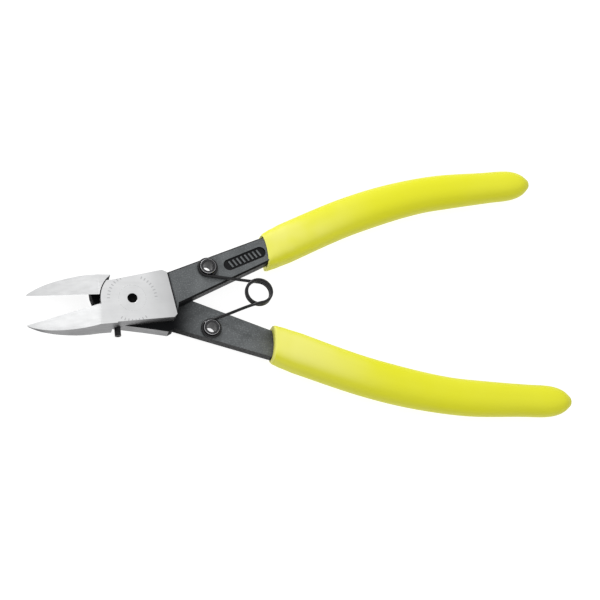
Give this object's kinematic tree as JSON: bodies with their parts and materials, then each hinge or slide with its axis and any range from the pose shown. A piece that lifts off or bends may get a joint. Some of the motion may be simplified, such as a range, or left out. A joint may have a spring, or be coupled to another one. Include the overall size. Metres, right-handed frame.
{
  "type": "diagonal cutting pliers",
  "caption": "Spring-opened diagonal cutting pliers with slim flush jaws, a riveted lap joint, a torsion spring between the handles and dipped grips.",
  "frame": {"origin": "on the pivot axis, at the head's flat back face", "axes": "+X along the bisector of the open handles, jaws towards -X; +Y towards the upper handle; +Z out of the front of the head, along the pivot axis"},
  "size_m": [0.1746, 0.089, 0.013],
  "materials": {
    "tool_steel": "ground bright at the head, black oxide on the handles",
    "rivet_steel": "ground flush",
    "black_steel": "black oxide",
    "spring_wire": "oiled black spring wire",
    "grip_vinyl": "soft dipped vinyl, satin"
  },
  "bodies": {
    "front_half": {"front_lever": "tool_steel", "pivot_rivet": "rivet_steel", "upper_spring_post": "black_steel", "upper_grip": "grip_vinyl"},
    "back_half": {"back_lever": "tool_steel", "stop_screw": "black_steel", "lower_spring_post": "black_steel", "lower_grip": "grip_vinyl"},
    "spring_upper": {"spring_upper_arm": "spring_wire"},
    "spring_lower": {"spring_lower_arm": "spring_wire"}
  },
  "joints": [
    {"name": "jaw_pivot", "type": "hinge", "parent": "front_half", "child": "back_half", "pos_m": [0, 0, 0.0044], "axis": [0, 0, 1], "range_deg": [-4, 17], "stiffness_Nm_per_rad": 0.8},
    {"name": "spring_upper_eye", "type": "hinge", "parent": "front_half", "child": "spring_upper", "pos_m": [0.02465, 0.00954, 0.009], "axis": [0, 0, 1], "range_deg": [-5.5, 22]},
    {"name": "spring_coil", "type": "hinge", "parent": "spring_upper", "child": "spring_lower", "pos_m": [0.0399, 0, 0.0105], "axis": [0, 0, 1], "range_deg": [-26.5, 6.5]}
  ],
  "couplings": [
    {"joint": "spring_upper_eye", "follows": "jaw_pivot", "ratio": 1.262},
    {"joint": "spring_coil", "follows": "jaw_pivot", "ratio": -1.53}
  ]
}
